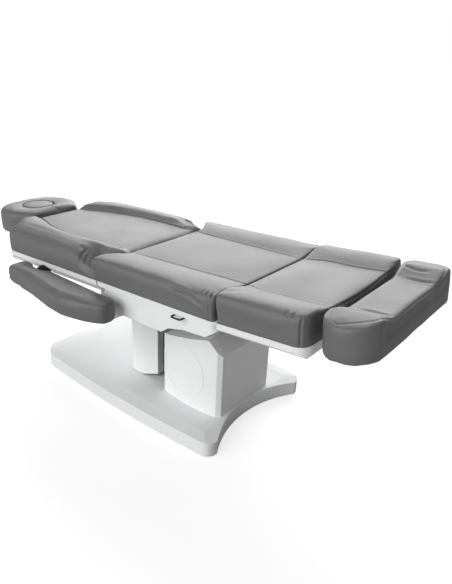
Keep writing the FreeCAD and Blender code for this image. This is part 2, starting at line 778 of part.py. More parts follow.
def back_outline(inset=0.0):
    """The back in plan: side bolsters with rounded tips that reach past the middle panel."""
    half = float(d.pad_half) - inset
    tip = -float(d.wing_end) + inset
    return mirror_outline([
        (-float(d.back_end) + inset, 112 + inset, 15),
        (tip, 150 + inset, 20),
        (tip, half, 118),
        (0, half, 0),
    ])


def hinge_roll(grow, angle):
    """The back pad's end, swept about the hinge line from the axis level upwards."""
    axis = float(d.back_axis)
    section = pad_section(*BACK_PAD, grow)
    side = HALF - 5 + (4 if grow else 0)
    section[0] = (side, -axis, 0)
    section[-1] = (-side, -axis, 0)
    face = Part.Face(rounded(section))
    face.Placement = Placement(Vector(), Rotation(Vector(1, 1, 1), 120))
    return face.revolve(Vector(0, 0, -axis), Vector(0, 1, 0), angle)


def hinge_pockets(top):
    """Room for the back hinge's ears, cut from below."""
    pockets = []
    for sign in SIDES.values():
        low = 145 if sign > 0 else -167
        pockets.append(Part.makeBox(58, 22, top + 130, Vector(-60, low, -130)))
    return pockets


def build_back_pads():
    prism = yz_prism(pad_section(*BACK_PAD), -800, -3)
    flat_end = prism.common(slab(back_outline(), -200, 200))
    over_axis = Part.makeBox(3.5, 700, 100, Vector(-3.5, -350, -float(d.back_axis)))
    bridge = yz_prism(pad_section(*BACK_PAD), -3, 0).common(over_axis)
    pad = flat_end.fuse(bridge).fuse(hinge_roll(0.0, 90))
    pad = pad.cut(hinge_pockets(-13.0)[0]).cut(hinge_pockets(-13.0)[1])
    for sign in SIDES.values():
        low = 145 if sign > 0 else -167
        pad = pad.cut(Part.makeBox(60, 22, 137, Vector(-2, low, -150)))
    node(feature("back_pad", pad.removeSplitter()), "back_pad", bed)

    wide, inner = d.half_wide - 15, Size(205)
    board = plate_body("back_board_plate", [
        (-d.wing_end + 14, -inner), (-d.wing_end + 96, -wide), (Size(-12), -wide),
        (Size(-12), wide), (-d.wing_end + 96, wide), (-d.wing_end + 14, inner),
    ], -d.pad_base - d.board_thick, -d.pad_base, round_by=10)
    slots = [
        box("board_slot_near", (-58, 0), (-167, -145), (-100, -60)),
        box("board_slot_far", (-58, 0), (145, 167), (-100, -60)),
    ]
    node(cut("back_board", board, slots), "back_board", bed)


def build_seat_pads():
    stock = yz_prism(pad_section(*SEAT_PAD), 10, 700)
    plan = slab(mirror_outline([(10, d.pad_half, 0), (float(d.seat_long) - 4, d.pad_half, 14)]), -200, 200)
    axis = Vector(0, 0, -float(d.back_axis))
    raised = yz_prism(pad_section(*BACK_PAD, 3), -300, 0)
    raised.rotate(axis, Vector(0, 1, 0), float(d.back_travel) + 1)
    under = Part.makeBox(17.5, 700, 120, Vector(10, -350, -120 - float(d.back_axis)))
    pad = stock.common(plan).cut(hinge_roll(1.6, 360)).cut(raised).cut(under)
    node(feature("seat_pad", pad.removeSplitter()), "seat_pad", bed)
    wide = d.half_wide - 15
    board = plate_body("seat_board", [
        (Size(32), -wide), (d.seat_long - 14, -wide), (d.seat_long - 14, wide), (Size(32), wide),
    ], -d.pad_base - d.board_thick, -d.pad_base, round_by=20)
    node(board, "seat_board", bed)


def build_leg_pads():
    stock = yz_prism(pad_section(*LEG_PAD), 0, 400)
    plan = slab(mirror_outline([(6, d.pad_half, 12), (d.leg_long, d.pad_half - 2, 40)]), -200, 200)
    node(feature("leg_pad", stock.common(plan)), "leg_pad", leg)
    wide = d.half_wide - 15
    board = plate_body("leg_board_plate", [
        (Size(30), -wide), (d.leg_long - 10, -wide + 12), (d.leg_long - 10, wide - 12), (Size(30), wide),
    ], -d.leg_base - d.board_thick, -d.leg_base, round_by=10)
    notches = [
        box("leg_board_notch_near", (0, 48), (-160, -100), (-100, -60)),
        box("leg_board_notch_far", (0, 48), (100, 160), (-100, -60)),
    ]
    node(cut("leg_board_notched", board, notches), "leg_board", leg)

    stock = yz_prism(pad_section(*FOOT_PAD), 300, 600)
    plan = slab(mirror_outline([(d.foot_start, 310, 64), (d.foot_end, 310, 88)]), -200, 200)
    node(feature("foot_pad", stock.common(plan)), "foot_pad", leg)


def build_head_pads():
    outline = mirror_outline([
        (-float(d.head_end), d.head_half, 140), (-760, d.head_half, 80), (-float(d.head_start), 112, 30),
    ])
    solid = slab(outline, -75, 18)
    rim = [edge for edge in solid.Edges if all(abs(v.Point.z - 18) < 0.01 for v in edge.Vertexes)]
    solid = solid.makeFillet(22, rim)
    place = Vector(-float(d.plug_x), 0, -100)
    hole = Part.makeCylinder(float(d.plug_radius) + 1.5, 200, place)
    node(feature("head_pad", solid.cut(hole)), "head_pad", bed)
    plug = Part.makeCylinder(float(d.plug_radius), 93, Vector(-float(d.plug_x), 0, -75))
    crown = [edge for edge in plug.Edges if all(abs(v.Point.z - 18) < 0.01 for v in edge.Vertexes)]
    node(feature("face_plug", plug.makeFillet(5, crown)), "face_plug", bed)


# ---------------------------------------------------------------- trays

def tray_section(grow, top):
    """Cross-section of a shallow tray; a negative grow gives its hollow."""
    half = float(d.half_wide) + grow
    right = [(half, top, 0), (half, -92, 6), (286 + grow, -122 - grow, 10)]
    return right + [(-y, z, radius) for y, z, radius in reversed(right)]


def build_back_tray():
    wall = float(d.shell_wall)
    rim = -float(d.pad_base)
    outer = yz_prism(tray_section(0, rim), -800, -4).common(slab(back_outline(1), -300, 0))
    inner = yz_prism(tray_section(-wall, rim + 5), -800, -4 - wall).common(slab(back_outline(1 + wall), -300, 0))
    shell = outer.cut(inner)
    cutters = hinge_pockets(-60.0) + [
        Part.makeBox(62, 40, 80, Vector(-60, -80, -140)),
        Part.makeBox(40, 240, 60, Vector(-30, -120, -140)),
        Part.makeCylinder(17, 700, Vector(*arm_pivot_on_bed()), Vector(0, 1, 0)),
    ]
    for y in (-70, 70):
        cutters.append(Part.makeCylinder(13, 80, Vector(-700, y, -98), Vector(1, 0, 0)))
    for cutter in cutters:
        shell = shell.cut(cutter)
    node(feature("back_tray", shell), "back_tray", bed)


def arm_pivot_on_bed():
    """Where the armrest pivot's axis starts, in the bed's own frame."""
    point = bed.inverse().multVec(Vector(float(d.arm_pivot_x), 0, float(d.arm_pivot_z)))
    return point.x, -350, point.z


def skirt_profile(lift):
    """Side view of the seat shell below its rim: a deep rear lobe and an arch over the pedestal."""
    return [
        (2, -80, 0), (2, -214 + lift, 14), (38, -221 + lift, 20), (112, -177 + lift, 30),
        (300, -180 + lift, 8), (330, -158 + lift, 20), (400, -143 + lift, 60), (488, -139 + lift, 20),
        (float(d.seat_long) + 0.7, -108 + lift, 4), (float(d.seat_long) + 0.7, -80, 0),
    ]


def build_seat_shell():
    wall = float(d.shell_wall)
    front = float(d.seat_long) + 0.7
    half = float(d.half_wide)
    band_plan = mirror_outline([(0, half, 4), (front, half, 20)])
    band = slab(band_plan, -92, -float(d.pad_base))
    skirt_plan = mirror_outline([(2, half - 11, 0), (front - 2, half - 11, 24)])
    skirt = slab(skirt_plan, -300, -85).common(side_slab(skirt_profile(0), 400))
    hollow_plan = mirror_outline([(-5, half - 11 - wall, 0), (front - 2 - wall, half - 11 - wall, 22)])
    hollow = slab(hollow_plan, -300, 0).common(side_slab(
        [(-10, 10, 0)] + [(x - 12 if i == 1 else x, z, r) for i, (x, z, r) in
                          enumerate(skirt_profile(wall)[1:-1], start=1)] + [(front, 10, 0)], 400))
    shell = band.fuse(skirt).cut(hollow)
    open_floor = Part.makeBox(200, 2 * half - 60, 400, Vector(-50, 30 - half, -500))
    floor_cut = open_floor.common(Part.makeBox(200, 800, 380, Vector(-50, -400, -480)))
    mouth = Part.makeBox(140, 430, 300, Vector(430, -215, -392))
    drive_gap = Part.makeBox(160, 200, 100, Vector(290, -100, -230))
    ears = Part.makeBox(60, 320, 60, Vector(front - 30, -160, -132))
    rear_notch = Part.makeBox(30, 340, 60, Vector(-10, -170, -130))
    for cutter in (floor_cut, mouth, drive_gap, ears, rear_notch):
        shell = shell.cut(cutter)
    node(feature("seat_shell", shell.removeSplitter()), "seat_shell", bed)


def build_leg_tray():
    wall = float(d.shell_wall)
    rim = -float(d.leg_base)
    outline = mirror_outline([(2, d.half_wide, 8), (d.leg_long + 2, d.half_wide, 42)])
    inner_outline = mirror_outline([(2 + wall, d.half_wide - wall, 6), (d.leg_long - 1, d.half_wide - wall, 40)])
    profile = [(2, 10, 0), (2, -97, 20), (30, -112, 12), (60, -116, 30), (float(d.leg_long) + 2, -110, 20),
               (float(d.leg_long) + 2, 10, 0)]
    lower = [(x, z + wall, r) for x, z, r in profile[1:-1]]
    hollow_profile = [(2, 20, 0)] + lower + [(profile[-1][0], 20, 0)]
    outer = yz_prism(leg_section(0, rim), -10, 400)
    outer = outer.common(slab(outline, -300, 0)).common(side_slab(profile, 400))
    inner = yz_prism(leg_section(-wall, rim + 5), -10, 400)
    inner = inner.common(slab(inner_outline, -300, 0)).common(side_slab(hollow_profile, 400))
    belly = belly_form(0)
    hollow = belly_form(wall)
    shell = outer.fuse(belly).cut(inner).cut(hollow)
    cutters = [
        Part.makeBox(75, 60, 120, Vector(-10, -161, -130)),
        Part.makeBox(75, 60, 120, Vector(-10, 101, -130)),
        Part.makeBox(150, 46, 90, Vector(-10, 37, -180)),
    ]
    for y in (-90, 90):
        cutters.append(Part.makeBox(300, 26, 60, Vector(56, y - 13, -155)))
    for cutter in cutters:
        shell = shell.cut(cutter)
    node(feature("leg_tray", shell), "leg_tray", leg)


def leg_section(grow, top):
    half = float(d.half_wide) + grow
    right = [(half, top, 0), (half, -92, 6), (270 + grow, -122 - grow, 10)]
    return right + [(-y, z, radius) for y, z, radius in reversed(right)]


def belly_form(inset):
    """The bulge under the leg tray that covers the leg lever."""
    across = [
        (200 - inset, -100, 0), (170 - inset, -162 + inset, 20),
        (-170 + inset, -162 + inset, 20), (-200 + inset, -100, 0),
    ]
    along = [
        (44 + inset, -100, 0), (52 + inset, -162 + inset, 14), (96, -162 + inset, 20),
        (138 - inset, -100, 0),
    ]
    return yz_prism(across, 30, 160).common(side_slab(along, 400))


# ---------------------------------------------------------------- steel frames of the bed

def ear(name, y, x_span, z_span, eye=None):
    """A hinge plate with an optional round eye at its top."""
    parts = [box(name, x_span, (y, y + 6), z_span)]
    if eye:
        parts.append(rod(name + "_eye", eye[2], "y", (y, y + 6), x=eye[0], z=eye[1]))
    return parts


def lever(name, points, y):
    """A flat lever plate outlined in side view, centred on y."""
    plate = side_slab(points, 5)
    plate.translate(Vector(0, float(y), 0))
    return feature(name, plate)


def build_seat_frame():
    z = (-d.pad_base - d.board_thick - d.rail_tall, -d.pad_base - d.board_thick)
    parts = []
    for side, sign in SIDES.items():
        span = (205, 235) if sign > 0 else (-235, -205)
        parts.append(tube(f"seat_rail_{side}", (8, 440), span, z, "x"))
    for i, (start, end) in enumerate(((8, 38), (56, 84), (236, 266), (410, 440))):
        parts.append(tube(f"seat_cross_{i}", (start, end), (-205, 205), (z[0] + 8, z[1]), "y"))
    axis = -float(d.back_axis)
    leg_point = bed.inverse().multiply(leg).multVec(Vector(float(d.leg_axis_x), 0, -float(d.leg_axis)))
    tilt = bed.inverse().multVec(Vector(float(d.tilt_x), 0, float(d.tilt_z)))
    bar = bed.inverse().multVec(Vector(float(d.tilt_drive_x), 0, float(d.tilt_bar_z)))
    for sign in SIDES.values():
        y = 157 if sign > 0 else -163
        parts += ear(f"back_ear_{y}", y, (-9, 24), (-96, -53), eye=(0, axis, 9))
        parts.append(box(f"back_neck_{y}", (-7, 7), (y, y + 6), (-57, axis)))
        y = 103 if sign > 0 else -111
        parts += [
            box(f"tilt_lug_{y}", (tilt.x - 13, tilt.x + 24), (y, y + 8), (tilt.z, -100)),
            rod(f"tilt_eye_{y}", 16, "y", (y, y + 8), x=tilt.x, z=tilt.z),
        ]
        y = 20 if sign > 0 else -28
        parts.append(box(f"bar_plate_{y}", (bar.x - 8, bar.x + 8), (y, y + 8), (bar.z - 8, -100)))
        for low in (109, 143):
            y = low if sign > 0 else -low - 8
            plate = side_slab([
                (408, -112, 0), (436, -122, 8), (leg_point.x, leg_point.z - 11, 0),
                (leg_point.x, leg_point.z + 11, 0), (leg_point.x - 26, -88, 0), (408, -88, 0),
            ], 4)
            plate.translate(Vector(0, y + 4, 0))
            parts.append(feature(f"leg_ear_{y}", plate))
            parts.append(rod(f"leg_ear_eye_{y}", 13, "y", (y, y + 8), x=leg_point.x, z=leg_point.z))
    for x, y in ((395, -60), (250, 60)):
        for side in (-16, 10):
            parts.append(box(f"drive_lug_{x}_{side}", (x - 12, x + 12), (y + side, y + side + 6), (-152, -88)))
    parts.append(box("drive_bridge_back", (383, 412), (-76, -44), (-96, -86)))
    parts.append(rod("tilt_bar", 6, "y", (-28, 28), x=bar.x, z=bar.z))
    solid = fuse("seat_frame_solid", parts)
    bores = [
        rod("back_axis_bore", 6, "y", (-180, 180), z=axis),
        rod("tilt_bore", d.pin_radius + d.pin_gap, "y", (-130, 130), x=tilt.x, z=tilt.z),
        rod("leg_bore", 8, "y", (-170, 170), x=leg_point.x, z=leg_point.z),
        rod("back_drive_bore", 6, "y", (-80, -40), x=395, z=-140),
        rod("leg_drive_bore", 6, "y", (40, 80), x=250, z=-140),
    ]
    node(cut("seat_frame", solid, bores), "seat_frame", bed)
    pins = []
    for sign in SIDES.values():
        span = (147, 165) if sign > 0 else (-165, -147)
        pins.append(rod(f"back_pin_{sign}", 6, "y", span, z=axis))
        span = (107, 153) if sign > 0 else (-153, -107)
        pins.append(rod(f"leg_pin_{sign}", 8, "y", span, x=leg_point.x, z=leg_point.z))
    pins.append(rod("back_drive_pin", 6, "y", (-78, -42), x=395, z=-140))
    pins.append(rod("leg_drive_pin", 6, "y", (42, 78), x=250, z=-140))
    node(group("hinge_pins", pins), "hinge_pins", bed)


def build_back_frame():
    z = (-116, -86)
    parts = []
    for side, sign in SIDES.items():
        span = (205, 235) if sign > 0 else (-235, -205)
        parts.append(tube(f"back_rail_{side}", (-600, -22), span, z, "x"))
    for i, start in enumerate((-600, -452, -327, -200, -74)):
        parts.append(tube(f"back_cross_{i}", (start, start + 30), (-205, 205), z, "y"))
    axis = -float(d.back_axis)
    pivot_x, _, pivot_z = arm_pivot_on_bed()
    for side, sign in SIDES.items():
        y = 150 if sign > 0 else -156
        plate = side_slab([
            (-50, -90, 0), (-24, -90, 4), (-8, -46, 10), (6, axis - 9, 6), (9, axis, 5),
            (0, axis + 9, 7), (-12, axis + 7, 6), (-50, -62, 10),
        ], 3)
        plate.translate(Vector(0, y + 3, 0))
        parts.append(feature(f"back_plate_{side}", plate))
        parts.append(rod(f"socket_{side}", 11, "x", (-612, -430), y=70 * sign, z=-98))
        span = (236, 318) if sign > 0 else (-318, -236)
        parts.append(rod(f"outrigger_{side}", 10, "y", span, x=pivot_x, z=pivot_z))
        span = (200, 240) if sign > 0 else (-240, -200)
        parts.append(box(f"outrigger_root_{side}", (pivot_x - 16, pivot_x + 16), span,
                         (pivot_z - 10, -86)))
    parts.append(lever("back_lever", [
        (-50, -92, 0), (-24, -92, 4), (-16, -128, 8), (88, -128, 6), (100, -134, 6),
        (100, -147, 6), (88, -152, 6), (-36, -152, 14),
    ], -60))
    parts.append(rod("back_lever_pin", 8, "y", (-76, -44), x=88, z=-140))
    solid = fuse("back_frame_solid", parts)
    bores = [rod("back_frame_axis", 6 + d.pin_gap, "y", (-180, 180), z=axis)]
    for side, sign in SIDES.items():
        bores.append(rod(f"socket_bore_{side}", 8.2, "x", (-620, -420), y=70 * sign, z=-98))
        span = (290, 330) if sign > 0 else (-330, -290)
        bores.append(rod(f"pivot_bore_{side}", 6, "y", span, x=pivot_x, z=pivot_z))
    node(cut("back_frame", solid, bores), "back_frame", bed)
    pins, hubs = [], []
    for side, sign in SIDES.items():
        span = (290, 341) if sign > 0 else (-341, -290)
        pins.append(rod(f"arm_pin_{side}", 6, "y", span, x=pivot_x, z=pivot_z))
        span = (318, 329) if sign > 0 else (-329, -318)
        hub = rod(f"arm_hub_{side}", 24, "y", span, x=pivot_x, z=pivot_z)
        hole = rod(f"arm_hub_bore_{side}", 6, "y", (-360, 360), x=pivot_x, z=pivot_z)
        hubs.append(cut(f"arm_hub_ring_{side}", hub, [hole]))
    node(group("armrest_pins", pins), "armrest_pins", bed)
    node(group("armrest_hubs", hubs), "armrest_hubs", bed)


def build_head_slide():
    parts = [box("head_plate", (-900, -700), (-120, 120), (-79, -75))]
    for side, sign in SIDES.items():
        parts.append(rod(f"head_rod_{side}", 8, "x", (-760, -450), y=70 * sign, z=-98))
        for x in (-755, -715):
            parts.append(box(f"head_block_{side}_{x}", (x, x + 20), (70 * sign - 8, 70 * sign + 8), (-96, -78)))
    hole = rod("head_plate_hole", 55, "z", (-100, -60), x=-d.plug_x)
    node(cut("head_slide", fuse("head_slide_solid", parts), [hole]), "head_slide", bed)


def build_leg_frame():
    z = (-104, -84)
    parts = []
    axis_x, axis_z = float(d.leg_axis_x), -float(d.leg_axis)
    for side, sign in SIDES.items():
        span = (120, 140) if sign > 0 else (-140, -120)
        parts.append(box(f"leg_rail_{side}", (axis_x, 292), span, z))
        parts.append(rod(f"leg_eye_{side}", 14, "y", span, x=axis_x, z=axis_z))
        parts.append(rod(f"leg_socket_{side}", 11, "x", (62, 296), y=90 * sign, z=-109))
    for i, start in enumerate((60, 266)):
        parts.append(box(f"leg_cross_{i}", (start, start + 26), (-250, 250), z))
    parts.append(lever("leg_lever", [
        (62, -100, 0), (84, -100, 0), (82, -140, 6), (77, -151, 6), (65, -151, 6), (60, -140, 6),
    ], 60))
    parts.append(rod("leg_lever_pin", 7, "y", (44, 76), x=71, z=-143.1))
    solid = fuse("leg_frame_solid", parts)
    bores = [rod("leg_frame_axis", 8 + d.pin_gap, "y", (-150, 150), x=axis_x, z=axis_z)]
    for side, sign in SIDES.items():
        bores.append(rod(f"leg_socket_bore_{side}", 8.2, "x", (50, 300), y=90 * sign, z=-109))
    node(cut("leg_frame", solid, bores), "leg_frame", leg)


def build_foot_slide():
    under = -d.foot_base
    parts = [box("foot_plate_sheet", (342, 440), (-220, 220), (under - 6, under))]
    for side, sign in SIDES.items():
        parts.append(rod(f"foot_rod_{side}", 8, "x", (80, 430), y=90 * sign, z=-109))
        parts.append(box(f"foot_web_{side}", (342, 430), (90 * sign - 5, 90 * sign + 5), (-106, under - 5)))
    node(fuse("foot_slide", parts), "foot_slide", leg)


# ---------------------------------------------------------------- armrests and fittings

def armrest_outline(sign, inset=0.0):
    """An armrest in plan, narrower at its rear, with a hollow beside its pivot."""
    rear, front = float(d.arm_pad_rear) + inset, float(d.arm_pad_front) - inset
    inner, outer = float(d.arm_inner) + inset, float(d.arm_outer) - inset
    pivot = float(d.arm_pivot_x)
    points = [
        (rear, inner + 3, 16), (pivot - 50, inner + 3, 12), (pivot - 28, inner + 18, 12),
        (pivot + 30, inner + 18, 12), (pivot + 62, inner, 20), (front, inner, 36),
        (front, outer - 56, 30), (24, outer - 22, 60), (-60, outer, 90), (-150, outer, 120),
        (-290, outer - 20, 120), (rear, outer - 34, 26),
    ]
    return [(x, y * sign, radius) for x, y, radius in points]


def build_armrests():
    top = float(d.arm_top)
    low = top - float(d.arm_thick)
    for side, sign in SIDES.items():
        pad = slab(armrest_outline(sign), low, top)
        crown = [e for e in pad.Edges if all(abs(v.Point.z - top) < 0.01 for v in e.Vertexes)]
        pad = pad.makeFillet(10, crown)
        x, z = d.arm_pivot_x, d.arm_pivot_z
        inner = d.arm_inner + 4
        y = inner if sign > 0 else -inner - 8
        y_pocket = float(inner) - 6 if sign > 0 else -float(inner) - 10
        pocket = Part.makeBox(196, 16, 42, Vector(float(x) - 34, y_pocket, low - 2))
        node(feature(f"armrest_pad_{side}", pad.cut(pocket)), f"armrest_pad_{side}")

        edges = (d.arm_inner + 22, d.arm_outer - 40)
        y0, y1 = edges if sign > 0 else (-edges[1], -edges[0])
        board = plate_body(f"armrest_board_{side}", [
            (d.arm_pad_rear + 22, y0), (Size(-60), y0), (Size(-60), y1), (d.arm_pad_rear + 22, y1),
        ], low - 6, Size(low), round_by=14)
        node(board, f"armrest_board_{side}")

        upright_plate = box(f"bracket_plate_{side}", (x - 18, x + 150), (y, y + 8), (low - 12, low + 30))
        eye = rod(f"bracket_eye_{side}", 20, "y", (y, y + 8), x=x, z=z)
        y0, y1 = (inner, inner + 66) if sign > 0 else (-inner - 66, -inner)
        foot = box(f"bracket_foot_{side}", (x - 10, x + 150), (y0, y1), (low - 12, low - 6))
        solid = fuse(f"bracket_{side}", [upright_plate, eye, foot])
        hole = rod(f"bracket_bore_{side}", 6 + d.pin_gap, "y", (-400, 400), x=x, z=z)
        node(cut(f"armrest_bracket_{side}", solid, [hole]), f"armrest_bracket_{side}")


def build_fittings():
    caps = [
        rod("cap_near", 8, "y", (-305, -302), x=16.6, z=-103),
        rod("cap_far", 8, "y", (302, 305), x=16.6, z=-103),
    ]
    node(group("pivot_caps", caps), "pivot_caps", bed)
    face = -float(d.half_wide) + 11
    out = face - 21
    x0, x1, z = 366.0, 406.0, -99.0
    bend = 7.0
    path = Part.Wire([
        Part.LineSegment(Vector(x0, face, z), Vector(x0, out + bend, z)).toShape(),
        Part.Arc(
            Vector(x0, out + bend, z), Vector(x0 + bend * 0.2929, out + bend * 0.2929, z), Vector(x0 + bend, out, z)
        ).toShape(),
        Part.LineSegment(Vector(x0 + bend, out, z), Vector(x1 - bend, out, z)).toShape(),
        Part.Arc(
            Vector(x1 - bend, out, z), Vector(x1 - bend * 0.2929, out + bend * 0.2929, z), Vector(x1, out + bend, z)
        ).toShape(),
        Part.LineSegment(Vector(x1, out + bend, z), Vector(x1, face, z)).toShape(),
    ])
    ring = Part.Wire(Part.Circle(Vector(x0, face, z), Vector(0, -1, 0), 3).toShape())
    hook = path.makePipeShell([ring], True, True)
    node(feature("hand_control_hook", hook), "hand_control_hook", bed)


# ---------------------------------------------------------------- write the sub-parts

def check_and_export():
    doc.recompute()
    faults = []
    for thing in doc.Objects:
        if "Invalid" in thing.State or "Error" in thing.State:
            faults.append(f"{thing.Label}: {thing.State}")
    for thing in nodes:
        shape = thing.Shape
        if shape.isNull() or not shape.isValid() or not shape.Solids:
            faults.append(f"{thing.Label}: no valid solid")
    if faults:
        raise RuntimeError("; ".join(faults))
    os.makedirs("parts", exist_ok=True)
    whole = FreeCAD.BoundBox()
    for thing in nodes:
        thing.Shape.exportStep(f"parts/{thing.Label}.step")
        whole.add(thing.Shape.BoundBox)
        print(f"{thing.Label}: {len(thing.Shape.Solids)} solids, {thing.Shape.Volume / 1000:.1f} cm3")
    print(f"{len(nodes)} sub-parts, X {whole.XMin:.2f} {whole.XMax:.2f}, Y {whole.YMin:.2f} {whole.YMax:.2f}, "
          f"Z {whole.ZMin:.2f} {whole.ZMax:.2f}")


build_base()
build_pedestal()
build_housing()
build_lift()
build_carriage()
build_column()
build_actuators()
build_seat_frame()
build_seat_shell()
build_seat_pads()
build_fittings()
build_back_frame()
build_back_tray()
build_back_pads()
build_head_slide()
build_head_pads()
build_leg_frame()
build_leg_tray()
build_leg_pads()
build_foot_slide()
build_armrests()
check_and_export()
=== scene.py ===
"""A facial treatment bed on a pale floor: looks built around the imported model."""
import json
import math

import bpy
import numpy as np
from mathutils import Matrix, Vector
from mathutils.bvhtree import BVHTree


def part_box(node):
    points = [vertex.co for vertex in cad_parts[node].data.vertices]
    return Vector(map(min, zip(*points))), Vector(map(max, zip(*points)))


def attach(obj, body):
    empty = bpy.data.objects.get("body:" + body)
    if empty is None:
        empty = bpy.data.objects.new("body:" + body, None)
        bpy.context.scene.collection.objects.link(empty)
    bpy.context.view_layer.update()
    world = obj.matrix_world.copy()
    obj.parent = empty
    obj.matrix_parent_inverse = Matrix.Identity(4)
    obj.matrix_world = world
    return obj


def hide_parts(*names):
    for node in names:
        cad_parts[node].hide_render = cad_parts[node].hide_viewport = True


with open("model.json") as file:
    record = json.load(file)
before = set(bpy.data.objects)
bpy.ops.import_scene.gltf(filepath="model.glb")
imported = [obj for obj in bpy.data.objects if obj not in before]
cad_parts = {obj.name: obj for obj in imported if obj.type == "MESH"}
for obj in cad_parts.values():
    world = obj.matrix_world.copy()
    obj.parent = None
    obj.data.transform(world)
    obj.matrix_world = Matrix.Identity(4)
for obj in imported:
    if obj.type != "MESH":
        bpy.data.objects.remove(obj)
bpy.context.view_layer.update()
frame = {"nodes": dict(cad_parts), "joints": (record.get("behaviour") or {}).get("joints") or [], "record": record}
NODES = frame["nodes"]

# ---------------------------------------------------------------- materials


def material(name, **inputs):
    """A Principled material with the given constants on the shader's own sockets."""
    mat = bpy.data.materials.new(name)
    mat.use_nodes = True
    shader = mat.node_tree.nodes["Principled BSDF"]
    for socket, value in inputs.items():
        shader.inputs[socket.replace("_", " ")].default_value = value
    return mat


class Graph:
    """Short calls for adding nodes to a material."""

    def __init__(self, mat):
        self.tree = mat.node_tree
        self.shader = self.tree.nodes["Principled BSDF"]
        self.place = self.add("ShaderNodeTexCoord").outputs["Object"]

    def add(self, kind, **settings):
        node = self.tree.nodes.new(kind)
        for key, value in settings.items():
            if key.startswith("in_"):
                node.inputs[key[3:].replace("_", " ")].default_value = value
            else:
                setattr(node, key, value)
        return node

    def link(self, source, target):
        self.tree.links.new(source, target)

    def noise(self, scale, detail=3.0, roughness=0.5, stretch=None):
        settings = {"in_Scale": scale, "in_Detail": detail, "in_Roughness": roughness}
        texture = self.add("ShaderNodeTexNoise", **settings)
        source = self.place
        if stretch:
            mapping = self.add("ShaderNodeMapping")
            mapping.inputs["Scale"].default_value = stretch
            self.link(source, mapping.inputs["Vector"])
            source = mapping.outputs["Vector"]
        self.link(source, texture.inputs["Vector"])
        return texture.outputs["Fac"]

    def cells(self, scale, feature="DISTANCE_TO_EDGE"):
        texture = self.add("ShaderNodeTexVoronoi", feature=feature, in_Scale=scale)
        self.link(self.place, texture.inputs["Vector"])
        return texture.outputs["Distance"]

    def ramp(self, fac, stops):
        node = self.add("ShaderNodeValToRGB")
        elements = node.color_ramp.elements
        while len(elements) < len(stops):
            elements.new(0.5)
        for element, (position, colour) in zip(elements, stops):
            element.position = position
            element.color = (*colour, 1.0) if len(colour) == 3 else (colour[0],) * 3 + (1.0,)
        self.link(fac, node.inputs["Fac"])
        return node.outputs["Color"]

    def span(self, fac, low, high):
        node = self.add("ShaderNodeMapRange", in_To_Min=low, in_To_Max=high)
        self.link(fac, node.inputs["Value"])
        return node.outputs["Result"]

    def colour(self, fac, stops):
        self.link(self.ramp(fac, stops), self.shader.inputs["Base Color"])

    def gloss(self, fac, low, high):
        self.link(self.span(fac, low, high), self.shader.inputs["Roughness"])

    def bump(self, layers):
        """Stack (height, strength, distance) layers into the shader's normal."""
        normal = None
        for height, strength, distance in layers:
            node = self.add("ShaderNodeBump", in_Strength=strength, in_Distance=distance)
            self.link(height, node.inputs["Height"])
            if normal:
                self.link(normal, node.inputs["Normal"])
            normal = node.outputs["Normal"]
        self.link(normal, self.shader.inputs["Normal"])


def shade(tone, factor):
    return tuple(channel * factor for channel in tone)


def leather(name, tone):
    """Grey leatherette: pebbled grain, faint creases and a slightly uneven sheen."""
    mat = material(name, Roughness=0.46, IOR=1.46)
    g = Graph(mat)
    g.colour(g.noise(5.0, 4.0), [(0.3, shade(tone, 0.94)), (0.7, shade(tone, 1.05))])
    g.gloss(g.noise(9.0, 5.0), 0.40, 0.54)
    g.bump([
        (g.noise(60.0, 2.0), 0.12, 0.002),
        (g.cells(900.0), 0.22, 0.0004),
        (g.noise(1800.0, 2.0), 0.10, 0.0002),
    ])
    return mat


def gloss_plastic(name, tone, rough=0.16, coat=0.3):
    """Moulded, polished plastic with a faint orange peel and a little dust."""
    mat = material(name, IOR=1.5, Coat_Weight=coat, Coat_Roughness=0.06)
    g = Graph(mat)
    g.colour(g.noise(4.0, 4.0), [(0.35, shade(tone, 0.975)), (0.65, tone)])
    g.gloss(g.noise(14.0, 5.0), rough * 0.75, rough * 1.5)
    g.bump([(g.noise(45.0, 1.0), 0.05, 0.001)])
    return mat


def powder_coat(name, tone):
    """Powder-coated steel with a fine texture."""
    mat = material(name, IOR=1.5)
    g = Graph(mat)
    g.colour(g.noise(30.0, 3.0), [(0.3, tone), (0.7, shade(tone, 1.3))])
    g.gloss(g.noise(25.0, 3.0), 0.42, 0.6)
    g.bump([(g.noise(700.0, 2.0), 0.2, 0.0004)])
    return mat


def bare_metal(name, tone, rough=0.28):
    """Turned or drawn steel with fine lines and light smudges."""
    mat = material(name, Metallic=1.0)
    g = Graph(mat)
    g.colour(g.noise(20.0, 3.0), [(0.3, shade(tone, 0.85)), (0.7, tone)])
    g.gloss(g.noise(40.0, 4.0, stretch=(1.0, 12.0, 12.0)), rough * 0.7, rough * 1.4)
    g.bump([(g.noise(300.0, 2.0, stretch=(0.2, 4.0, 4.0)), 0.08, 0.0003)])
    return mat


def matt_plastic(name, tone):
    """Plain moulded plastic with a fine, dull grain."""
    mat = material(name, IOR=1.48)
    g = Graph(mat)
    g.colour(g.noise(12.0, 3.0), [(0.3, shade(tone, 0.9)), (0.7, tone)])
    g.gloss(g.noise(30.0, 3.0), 0.42, 0.58)
    g.bump([(g.noise(900.0, 2.0), 0.15, 0.0003)])
    return mat


